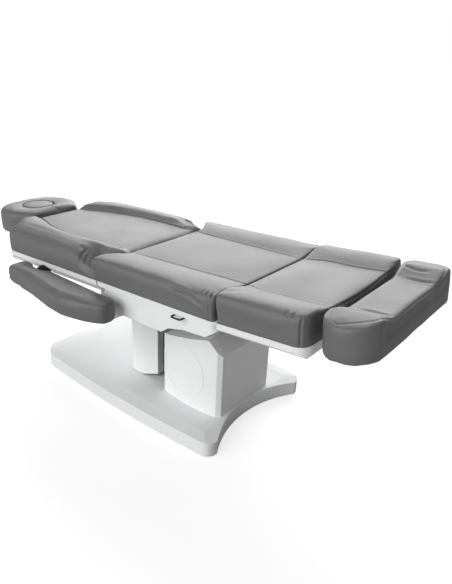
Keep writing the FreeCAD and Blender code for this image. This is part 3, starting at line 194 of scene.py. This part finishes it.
def plywood(name, tone):
    """Birch plywood: long, uneven grain."""
    mat = material(name, IOR=1.5)
    g = Graph(mat)
    grain = g.noise(8.0, 8.0, 0.6, stretch=(0.6, 7.0, 20.0))
    g.colour(grain, [(0.35, shade(tone, 0.72)), (0.6, tone)])
    g.gloss(g.noise(30.0, 3.0), 0.5, 0.7)
    g.bump([(g.noise(40.0, 6.0, stretch=(0.5, 8.0, 20.0)), 0.2, 0.0008)])
    return mat


GREY = (0.145, 0.1465, 0.148)
WHITE = (0.87, 0.875, 0.88)
BASE_WHITE = (0.88, 0.885, 0.89)
PANEL_WHITE = (0.85, 0.855, 0.86)

LOOKS = {
    "upholstery": leather("leatherette", GREY),
    "tray_white": gloss_plastic("tray_white_gloss", WHITE),
    "base_white": gloss_plastic("base_white_gloss", BASE_WHITE, 0.5, coat=0.0),
    "panel_white": gloss_plastic("panel_white_satin", PANEL_WHITE, 0.3),
    "frame_black": powder_coat("black_powder", (0.022, 0.022, 0.024)),
    "bracket_black": powder_coat("black_bracket", (0.018, 0.018, 0.02)),
    "steel": bare_metal("zinc_steel", (0.55, 0.56, 0.57)),
    "hook_steel": matt_plastic("hook_wire", (0.016, 0.016, 0.018)),
    "drive_grey": matt_plastic("drive_plastic", (0.06, 0.063, 0.067)),
    "drive_rod": bare_metal("drive_rod_alloy", (0.66, 0.67, 0.68), 0.22),
    "plywood": plywood("birch_ply", (0.52, 0.38, 0.22)),
    "armrest_board": matt_plastic("black_board", (0.02, 0.02, 0.021)),
    "rubber_black": matt_plastic("foot_rubber", (0.018, 0.018, 0.018)),
    "plastic_black": matt_plastic("black_plastic", (0.015, 0.015, 0.016)),
    "cap_grey": matt_plastic("grey_cap", (0.42, 0.425, 0.43)),
    "contact_brass": bare_metal("contact_metal", (0.7, 0.55, 0.28), 0.25),
}

for part in frame["record"]["subparts"]:
    node = NODES[part["node"]]
    node.data.materials.clear()
    node.data.materials.append(LOOKS[part["material_slot"]])

# ---------------------------------------------------------------- shaping tools


def joint(name):
    return next(item for item in frame["joints"] if item["name"] == name)


class Section:
    """A bed section's own axes: u towards the foot end, v across, w out of the surface."""

    def __init__(self, pivot, along, over, under):
        """pivot lies `over` metres past the section's origin along u and `under` below it."""
        self.u = Vector(along).normalized()
        self.w = self.u.cross(Vector((0, 1, 0))).normalized()
        self.origin = Vector(pivot) - self.u * over + self.w * under
        self.turn = np.array([self.u, (0, 1, 0), self.w])

    def local(self, points):
        return (points - np.array(self.origin)) @ self.turn.T

    def world(self, points):
        return np.asarray(points, float) @ self.turn + np.array(self.origin)


BACK_PIVOT_UNDER = 0.025
LEG_PIVOT_PAST, LEG_PIVOT_UNDER = 0.027, 0.086
toward_foot = -Vector(joint("head_slide_joint")["axis"])
BED = Section(joint("back_recline")["pos_m"], toward_foot, 0.0, BACK_PIVOT_UNDER)
LEG = Section(
    joint("leg_drop")["pos_m"], joint("foot_slide_joint")["axis"], LEG_PIVOT_PAST, LEG_PIVOT_UNDER
)
LEVEL = Section((0, 0, 0), (1, 0, 0), 0.0, 0.0)


def new_object(name, mesh):
    thing = bpy.data.objects.new(name, mesh)
    bpy.context.scene.collection.objects.link(thing)
    return thing


def bake(piece):
    """Replace a piece's mesh by what its modifiers make of it, and drop them."""
    graph = bpy.context.evaluated_depsgraph_get()
    mesh = bpy.data.meshes.new_from_object(piece.evaluated_get(graph))
    piece.modifiers.clear()
    piece.data = mesh


def modified(piece, kind, **settings):
    """Apply one modifier."""
    modifier = piece.modifiers.new(kind.lower(), kind)
    for key, value in settings.items():
        setattr(modifier, key, value)
    bake(piece)


def points_of(piece):
    flat = np.empty(len(piece.data.vertices) * 3)
    piece.data.vertices.foreach_get("co", flat)
    return flat.reshape(-1, 3)


def normals_of(piece):
    flat = np.empty(len(piece.data.vertices) * 3)
    piece.data.vertices.foreach_get("normal", flat)
    return flat.reshape(-1, 3)


def set_points(piece, points):
    piece.data.vertices.foreach_set("co", np.ascontiguousarray(points, dtype=np.float32).ravel())
    piece.data.update()


def ease(value, start, end):
    """0 before start, 1 after end, smooth between; start may be the larger."""
    t = np.clip((np.asarray(value, float) - start) / (end - start), 0.0, 1.0)
    return t * t * (3.0 - 2.0 * t)


def smooth_path(points, steps=10):
    """A rounded line through a few points."""
    points = np.asarray(points, float)
    if len(points) < 3:
        return points[0] + (points[-1] - points[0]) * np.linspace(0, 1, steps)[:, None]
    ends = np.vstack([2 * points[0] - points[1], points, 2 * points[-1] - points[-2]])
    line = []
    for a, b, c, e in zip(ends, ends[1:], ends[2:], ends[3:]):
        for t in np.linspace(0, 1, steps, endpoint=False):
            line.append(0.5 * (2 * b + (c - a) * t + (2 * a - 5 * b + 4 * c - e) * t * t
                               + (3 * b - 3 * c + e - a) * t ** 3))
    line.append(points[-1])
    return np.array(line)


def distance_to(points, path):
    """Distance from each point to a line, and how far along the line its foot lies (0 to 1)."""
    best = np.full(len(points), 1e9)
    along = np.zeros(len(points))
    lengths = np.linalg.norm(np.diff(path, axis=0), axis=1)
    total = lengths.sum()
    done = 0.0
    for start, end, length in zip(path, path[1:], lengths):
        step = end - start
        t = np.clip(((points - start) @ step) / max(length * length, 1e-12), 0.0, 1.0)
        gap = np.linalg.norm(points - (start + t[:, None] * step), axis=1)
        nearer = gap < best
        best = np.where(nearer, gap, best)
        along = np.where(nearer, (done + t * length) / total, along)
        done += length
    return best, along


def waves(points, scale, seed):
    """Smooth, uneven, repeatable variation between about -1 and 1."""
    rng = np.random.default_rng(seed)
    total = np.zeros(len(points))
    for _ in range(7):
        direction = rng.normal(size=3)
        direction *= 2 * math.pi / (scale * np.linalg.norm(direction) * rng.uniform(0.6, 1.5))
        total += np.sin(points @ direction + rng.uniform(0, 2 * math.pi))
    return total / 3.2


CLOTH_FRAMES = 20


class Pad:
    """A padded piece shaped from a CAD node, in its section's own axes.

    rounding is how often its edges are smoothed, skirt how far its hem reaches below the
    solid, and square names the ends (0 low, 1 high along u) that meet another pad squarely.
    """

    def __init__(self, name, node, body, section, voxel=0.006, rounding=8, skirt=0.006, square=()):
        self.node, self.body, self.section = node, body, section
        self.piece = new_object(name, NODES[node].data.copy())
        self.piece.data.materials.clear()
        modified(self.piece, "REMESH", mode="VOXEL", voxel_size=voxel)
        modified(self.piece, "SMOOTH", factor=0.5, iterations=2)
        crisp = points_of(self.piece)
        modified(self.piece, "SMOOTH", factor=0.5, iterations=rounding)
        solid = section.local(points_of(NODES[node]))
        self.low, self.high = solid.min(0), solid.max(0)
        self.square = [(self.low[0], self.high[0])[end] for end in square]
        points = self.points
        points += (section.local(crisp) - points) * self.at_ends(0.030, 0.015)[:, None]
        points[:, 2] -= skirt * ease(points[:, 2], self.low[2] + 0.030, self.low[2] + 0.004)
        self.points = points

    @property
    def points(self):
        return self.section.local(points_of(self.piece))

    @points.setter
    def points(self, local):
        set_points(self.piece, self.section.world(local))

    def at_ends(self, start, end):
        """1 beside the ends that meet another pad squarely, 0 further than start from them."""
        near = np.zeros(len(self.piece.data.vertices))
        for plane in self.square:
            near = np.maximum(near, ease(np.abs(self.points[:, 0] - plane), start, end))
        return near

    @property
    def normals(self):
        return normals_of(self.piece) @ self.section.turn.T

    def inflate(self, pinned, pressure=3.0, cap=0.005):
        """Fill the cover with air as cloth, held where pinned is 1, moving it cap at most."""
        pinned = np.maximum(pinned, self.at_ends(0.016, 0.008))
        before = points_of(self.piece)
        holders = self.piece.vertex_groups.new(name="held")
        for index in np.flatnonzero(pinned > 0.02):
            holders.add([int(index)], float(pinned[index]), "REPLACE")
        cloth = self.piece.modifiers.new("cloth", "CLOTH")
        cloth.settings.vertex_group_mass = "held"
        cloth.settings.use_pressure = True
        cloth.settings.uniform_pressure_force = pressure
        cloth.settings.effector_weights.gravity = 0.0
        cloth.settings.quality = 4
        cloth.settings.tension_stiffness = 25
        cloth.settings.compression_stiffness = 25
        cloth.settings.bending_stiffness = 2.0
        cloth.collision_settings.use_collision = False
        cloth.point_cache.frame_end = CLOTH_FRAMES
        for step in range(1, CLOTH_FRAMES + 1):
            bpy.context.scene.frame_set(step)
        bake(self.piece)
        bpy.context.scene.frame_set(1)
        self.piece.vertex_groups.clear()
        move = points_of(self.piece) - before
        size = np.linalg.norm(move, axis=1, keepdims=True)
        set_points(self.piece, before + move * np.minimum(1.0, cap / np.maximum(size, 1e-9)))
        modified(self.piece, "SMOOTH", factor=0.5, iterations=3)

    def refine(self):
        modified(self.piece, "SUBSURF", levels=1, render_levels=1)

    def crease(self, path, depth, width, lip=0.35, flat=False, fade=0.0, facing=None):
        """Press a line into the cover.

        A flat path follows (u, v) on the top, whatever its height. With facing, a path
        follows (u, w) on that side, whatever its distance across.
        """
        points, normals = self.points, self.normals
        line = smooth_path(path)
        if facing is not None:
            where, line = points * (1, 0, 1), line * (1, 0, 1)
            gap, along = distance_to(where, line)
            strength = ease(normals @ np.array(facing), 0.0, 0.4)
        elif flat:
            where = points.copy()
            where[:, 2] = 0.0
            gap, along = distance_to(where, np.column_stack([line[:, :2], np.zeros(len(line))]))
            strength = ease(normals[:, 2], 0.1, 0.5)
        else:
            tree = BVHTree.FromObject(self.piece, bpy.context.evaluated_depsgraph_get())
            line = [tree.find_nearest(Vector(point))[0] for point in self.section.world(line)]
            gap, along = distance_to(points, self.section.local(np.array(line)))
            strength = np.ones(len(points))
        if fade:
            strength *= ease(along, 0.0, fade) * ease(along, 1.0, 1.0 - fade)
        groove = np.exp(-((gap / width) ** 2))
        shoulder = np.exp(-(((gap - 2.2 * width) / (1.2 * width)) ** 2))
        move = strength * depth * (lip * shoulder - groove)
        self.points = points + normals * move[:, None]

    def ripple(self, amount, scale, seed):
        """Make the cover slightly uneven."""
        points = self.points
        move = amount * waves(points, scale, seed)
        self.points = points + self.normals * move[:, None]

    def finish(self):
        mesh = self.piece.data
        mesh.materials.clear()
        mesh.materials.append(LOOKS["upholstery"])
        mesh.polygons.foreach_set("use_smooth", [True] * len(mesh.polygons))
        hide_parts(self.node)
        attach(self.piece, self.body)
        return self.piece


# ---------------------------------------------------------------- the pads


SEAM = {"depth": 0.0022, "width": 0.0032, "lip": 0.15, "flat": True}
DEEP_SEAM = {"depth": 0.0040, "width": 0.0032, "lip": 0.15, "flat": True}
RIM_SEAM = {"depth": 0.0013, "width": 0.0028, "lip": 0.2, "flat": True}
END_SEAM = {"depth": 0.003, "width": 0.003, "fade": 0.1}
SEAM_HELD = 0.010
HEM = 0.05


def both_sides(path):
    """A path and its mirror image across the middle of the bed."""
    near = [tuple(point) for point in path]
    far = [(point[0], -point[1], *point[2:]) for point in path]
    return near, far


def held_below(pad, height):
    """Hold the part of the cover that is stapled to the board."""
    return ease(pad.points[:, 2], pad.low[2] + height, pad.low[2] + 0.3 * height)


def held_along(pad, paths, width):
    """Hold the cover along its sewn seams."""
    points = pad.points.copy()
    points[:, 2] = 0.0
    held = np.zeros(len(points))
    for path in paths:
        line = smooth_path(path)
        gap, _ = distance_to(points, np.column_stack([line, np.zeros(len(line))]))
        held = np.maximum(held, ease(gap, 1.6 * width, 0.6 * width) * (pad.normals[:, 2] > 0.3))
    return held


def build_back_pad():
    pad = Pad("back_cushion", "back_pad", "back", BED, skirt=0.009, square=(1,))
    u, v, w = pad.points.T
    side, base = np.abs(v), pad.low[2]
    seam = [(-0.655, -0.100), (-0.600, -0.112), (-0.530, -0.136), (-0.462, -0.156),
            (-0.311, -0.175), (-0.161, -0.177), (-0.030, -0.168)]
    line = smooth_path(seam)
    beyond = side + np.interp(u, line[:, 0], line[:, 1])
    panel_edge, crest, outer_edge = 0.178, 0.232, 0.307
    plain_top = np.interp(side, [0.0, panel_edge, crest, outer_edge], [0.0, 0.0, 0.020, -0.004])
    bolster = 0.023 * ease(beyond, -0.004, 0.042)
    top = np.where(side < crest, np.maximum(bolster, plain_top * (beyond > 0)), plain_top)
    spacing = 0.02
    stations = np.arange(pad.low[0], pad.high[0], spacing)
    widths = [side[np.abs(u - station) < spacing].max() for station in stations]
    from_edge = np.interp(u, stations, widths) - side
    top = np.minimum(top, 0.021 - 0.027 * ease(from_edge, 0.085, -0.010))
    corner = ease(u, -0.135, -0.045) * ease(side, 0.165, 0.29)
    height = (w - base) * (top - base) / (plain_top - base) * (1.0 - 0.50 * corner)
    lifted = ease(w, base + 0.02, base + 0.06)
    cut_back = -0.06
    kept = 1.0 - 0.62 * lifted * ease(side, 0.20, 0.30)
    u = np.where(u > cut_back, cut_back + (u - cut_back) * kept, u)
    v = v - np.sign(v) * 0.008 * corner * lifted
    pad.points = np.column_stack([u, v, base + height])

    seams = both_sides(seam)
    pad.inflate(np.maximum(held_below(pad, HEM), held_along(pad, seams, SEAM_HELD)))
    pad.refine()
    for path in seams:
        pad.crease(path, **DEEP_SEAM)
    pad.crease([(-0.622, -0.10), (-0.626, 0.0), (-0.622, 0.10)], 0.002, 0.005, flat=True, fade=0.1)
    pleat = [(-0.118, -0.245, 0.010), (-0.108, -0.285, -0.010), (-0.100, -0.300, -0.050)]
    for path in both_sides(pleat):
        pad.crease(path, 0.0035, 0.005, fade=0.3)
    second_pleat = [(-0.096, -0.262, 0.000), (-0.086, -0.285, -0.018), (-0.082, -0.296, -0.040)]
    for path in both_sides(second_pleat):
        pad.crease(path, 0.0025, 0.006, fade=0.4)
    pucker = [(-0.046, -0.160), (-0.034, -0.172), (-0.026, -0.186)]
    for path in both_sides(pucker):
        pad.crease(path, 0.003, 0.004, flat=True, fade=0.3)
    pad.ripple(0.0006, 0.18, 11)
    pad.finish()


def build_seat_pad():
    pad = Pad("seat_cushion", "seat_pad", "seat", BED, square=(0, 1))
    u, v, w = pad.points.T
    side = np.abs(v)
    reach = ease(u, 0.10, 0.02) * ease(side, 0.18, 0.27)
    lip = ease(u, pad.high[0] - 0.03, pad.high[0]) * ease(w, -0.05, -0.015)
    pad.points = np.column_stack([u - 0.040 * reach + 0.0035 * lip, v, w])
    seam = [(0.012, -0.172), (0.120, -0.166), (0.270, -0.163), (0.420, -0.158), (0.532, -0.155)]
    seams = both_sides(seam)
    pad.inflate(np.maximum(held_below(pad, HEM), held_along(pad, seams, SEAM_HELD)))
    pad.refine()
    front, edge = pad.high[0] - 0.004, pad.low[1]
    for path in seams:
        pad.crease(path, **SEAM)
    fold = [
        (0.330, edge + 0.012, -0.006), (0.420, edge + 0.008, -0.010),
        (0.480, edge + 0.004, -0.026), (front - 0.012, edge + 0.004, -0.034),
    ]
    for path in both_sides(fold):
        pad.crease(path, 0.0045, 0.006, lip=0.6, fade=0.35)
    for step in range(3):
        start = front - 0.050 + 0.017 * step
        gather = [(start, edge + 0.034, 0.004), (start + 0.012, edge + 0.012, -0.008)]
        for path in both_sides(gather):
            pad.crease(path, 0.0024, 0.0040, fade=0.4)
    corner_seam = [
        (front - 0.012, edge + 0.02, 0.000), (front - 0.010, edge, -0.030), (front - 0.010, edge, -0.085)
    ]
    for path in both_sides(corner_seam):
        pad.crease(path, **END_SEAM)
    pad.ripple(0.0006, 0.20, 21)
    pad.finish()


def build_leg_pad():
    pad = Pad("leg_cushion", "leg_pad", "leg", LEG, square=(0,))
    u, v, w = pad.points.T
    lip = ease(u, pad.low[0] + 0.03, pad.low[0]) * ease(w, -0.05, -0.015)
    pad.points = np.column_stack([u - 0.0035 * lip, v, w])
    seam = [(0.004, -0.157), (0.090, -0.174), (0.190, -0.172), (0.306, -0.178)]
    seams = both_sides(seam)
    pad.inflate(np.maximum(held_below(pad, HEM), held_along(pad, seams, SEAM_HELD)))
    pad.refine()
    end, edge = pad.high[0], pad.low[1]
    for path in seams:
        pad.crease(path, **SEAM)
    corner_seam = [
        (end - 0.020, edge + 0.016, 0.010), (end - 0.014, edge, -0.020), (end - 0.014, edge, -0.085)
    ]
    for path in both_sides(corner_seam):
        pad.crease(path, **END_SEAM)
    end_seam = [(end - 0.006, -0.26, 0.002), (end - 0.004, 0.0, -0.014), (end - 0.006, 0.26, 0.002)]
    pad.crease(end_seam, 0.0022, 0.0035, fade=0.05)
    for step in range(2):
        start = end - 0.070 + 0.024 * step
        gather = [(start, edge + 0.030, 0.008), (start + 0.012, edge + 0.008, -0.004)]
        for path in both_sides(gather):
            pad.crease(path, 0.0022, 0.0045, fade=0.4)
    pad.ripple(0.0006, 0.20, 31)
    pad.finish()


def build_foot_pad():
    pad = Pad("foot_cushion", "foot_pad", "foot", LEG)
    pad.inflate(held_below(pad, HEM))
    pad.refine()
    start, end = pad.low[0], pad.high[0]
    rim = 0.012
    edge = [
        (start + rim, -0.23), (start + rim + 0.030, -0.288), (end - 0.088, -0.293),
        (end - 0.040, -0.262), (end - rim, -0.21), (end - rim, 0.0),
    ]
    for path in both_sides(edge):
        pad.crease(path, fade=0.02, **RIM_SEAM)
    pad.crease([(start + rim, -0.23), (start + rim, 0.23)], **RIM_SEAM)
    inner_pinch = [
        (start + 0.010, -0.212, 0.020), (start + 0.060, -0.196, 0.018), (start + 0.110, -0.200, 0.020)
    ]
    for path in both_sides(inner_pinch):
        pad.crease(path, 0.0025, 0.006, fade=0.3)
    outer_pinch = [
        (end - 0.120, -0.150, 0.004), (end - 0.060, -0.146, 0.004), (end - 0.012, -0.150, -0.004)
    ]
    for path in both_sides(outer_pinch):
        pad.crease(path, 0.0030, 0.006, fade=0.3)
    pad.ripple(0.0007, 0.14, 41)
    pad.finish()


def build_head_pad():
    pad = Pad("head_cushion", "head_pad", "head", BED)
    low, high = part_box("face_plug")
    middle = BED.local(np.array([low, high]).mean(0)[None, :])[0]
    radius = np.linalg.norm(pad.points[:, :2] - middle[:2], axis=1)
    pad.inflate(np.maximum(held_below(pad, 0.03), ease(radius, 0.085, 0.074)), cap=0.006)
    pad.refine()
    pad.ripple(0.0006, 0.12, 51)
    pad.finish()

    plug = Pad("face_plug_cushion", "face_plug", "plug", BED, voxel=0.004, rounding=5, skirt=0.0)
    plug.inflate(held_below(plug, 0.07), cap=0.002)
    plug.refine()
    plug.finish()


def build_armrest_pads():
    for side, sign in (("near", -1.0), ("far", 1.0)):
        name, node = f"armrest_cushion_{side}", f"armrest_pad_{side}"
        pad = Pad(name, node, f"armrest_{side}", LEVEL, rounding=24)
        points = pad.points
        nose = ease(points[:, 0], pad.high[0] - 0.34, pad.high[0] - 0.10)
        points[:, 2] -= 0.008 * nose * ease(points[:, 2], pad.low[2] + 0.05, pad.low[2])
        points[:, 0] += 0.006 * ease(points[:, 0], pad.high[0] - 0.10, pad.high[0])
        pad.points = points
        pad.inflate(held_below(pad, 0.016), cap=0.006)
        pad.refine()
        rear, low = pad.low[0], pad.low[2]
        seam = [
            (0.000, 0.023), (0.054, 0.020), (0.099, 0.017), (0.109, 0.010), (0.154, 0.006), (0.194, 0.001)
        ]
        path = [(rear + along, 0.0, low + height) for along, height in seam]
        pad.crease(path, 0.0045, 0.0040, fade=0.03, facing=(0.0, sign, 0.0))
        pad.ripple(0.0006, 0.12, 61)
        pad.finish()


build_back_pad()
build_seat_pad()
build_leg_pad()
build_foot_pad()
build_head_pad()
build_armrest_pads()


# ---------------------------------------------------------------- floor, light and camera


def build_floor():
    """A white floor that glows a little to the camera, so that its shadows stay faint."""
    half = 60.0
    mesh = bpy.data.meshes.new("floor")
    mesh.from_pydata(
        [(-half, -half, 0), (half, -half, 0), (half, half, 0), (-half, half, 0)], [], [(0, 1, 2, 3)]
    )
    paint = material("floor_paint", Base_Color=(0.45, 0.45, 0.45, 1.0), Roughness=0.9)
    g = Graph(paint)
    seen = g.add("ShaderNodeLightPath")
    g.shader.inputs["Emission Color"].default_value = (1.0, 1.0, 1.0, 1.0)
    g.link(g.span(seen.outputs["Is Camera Ray"], 0.0, 0.70), g.shader.inputs["Emission Strength"])
    mesh.materials.append(paint)
    new_object("floor", mesh)


def soft_light(name, strength, angle, direction):
    """A distant, broad light that shines along a direction."""
    data = bpy.data.lights.new(name, "SUN")
    data.energy = strength
    data.angle = math.radians(angle)
    lamp = new_object(name, data)
    lamp.rotation_euler = Vector(direction).to_track_quat("-Z", "Y").to_euler()


def build_lights():
    world = bpy.data.worlds.new("studio")
    bpy.context.scene.world = world
    world.use_nodes = True
    tree = world.node_tree
    dim = tree.nodes["Background"]
    dim.inputs["Color"].default_value = (1.0, 1.0, 1.0, 1.0)
    dim.inputs["Strength"].default_value = 0.20
    backdrop = tree.nodes.new("ShaderNodeBackground")
    backdrop.inputs["Color"].default_value = (1.0, 1.0, 1.0, 1.0)
    backdrop.inputs["Strength"].default_value = 1.0
    seen = tree.nodes.new("ShaderNodeLightPath")
    mix = tree.nodes.new("ShaderNodeMixShader")
    tree.links.new(seen.outputs["Is Camera Ray"], mix.inputs["Fac"])
    tree.links.new(dim.outputs["Background"], mix.inputs[1])
    tree.links.new(backdrop.outputs["Background"], mix.inputs[2])
    tree.links.new(mix.outputs["Shader"], tree.nodes["World Output"].inputs["Surface"])
    soft_light("behind", 3.0, 60.0, (0.42, -0.62, -0.40))
    soft_light("near_side", 2.45, 60.0, (0.20, 0.85, -0.32))


CAMERA_PLACE = (1.415, -1.430, 1.303)
CAMERA_YAW, CAMERA_PITCH, CAMERA_ROLL = math.radians(38.14), math.radians(24.48), math.radians(2.77)
CAMERA_LENS, CAMERA_SENSOR = 34.43, 36.0


def build_camera():
    """The view: from the foot end's near side, looking down at about a quarter of a right angle."""
    yaw, pitch, roll = CAMERA_YAW, CAMERA_PITCH, CAMERA_ROLL
    ahead = math.cos(pitch)
    forward = Vector((-math.sin(yaw) * ahead, math.cos(yaw) * ahead, -math.sin(pitch)))
    level = Vector((math.cos(yaw), math.sin(yaw), 0.0))
    upward = level.cross(forward)
    right = level * math.cos(roll) + upward * math.sin(roll)
    up = upward * math.cos(roll) - level * math.sin(roll)
    turn = Matrix((right, up, -forward)).transposed()
    data = bpy.data.cameras.new("camera")
    data.lens = CAMERA_LENS
    data.sensor_width = CAMERA_SENSOR
    camera = new_object("camera", data)
    camera.matrix_world = Matrix.Translation(CAMERA_PLACE) @ turn.to_4x4()
    bpy.context.scene.camera = camera


build_floor()
build_lights()
build_camera()
bpy.context.scene.view_settings.view_transform = "Standard"
